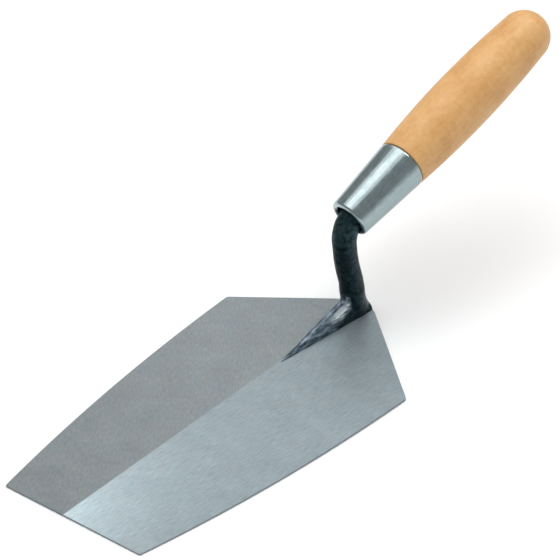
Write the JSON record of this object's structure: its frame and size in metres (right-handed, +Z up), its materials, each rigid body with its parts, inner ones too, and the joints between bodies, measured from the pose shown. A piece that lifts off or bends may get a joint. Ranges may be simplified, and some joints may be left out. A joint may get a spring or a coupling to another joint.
{
  "type": "brick trowel",
  "caption": "Bricklayer's trowel: blunt hexagonal ground steel blade, black forged goose-neck shank, tapered steel ferrule and turned wooden handle.",
  "frame": {"origin": "on the underside of the blade, where the line across its two shoulders meets the plane that the shank and handle are symmetric about", "axes": "+X along the blade's centreline from the toe towards the handle, +Z up out of the blade's top face, and +Y across the blade, to the left of somebody who looks along +X"},
  "size_m": [0.3595, 0.1194, 0.1135],
  "materials": {
    "ground_steel": "satin, ground in two directions",
    "black_forged_steel": "black forge scale, half gloss on the root",
    "zinc_plated_steel": "bright zinc plate",
    "lacquered_wood": "clear satin lacquer"
  },
  "bodies": {
    "root": {"blade": "ground_steel", "shank": "black_forged_steel", "ferrule": "zinc_plated_steel", "handle": "lacquered_wood"}
  },
  "joints": []
}
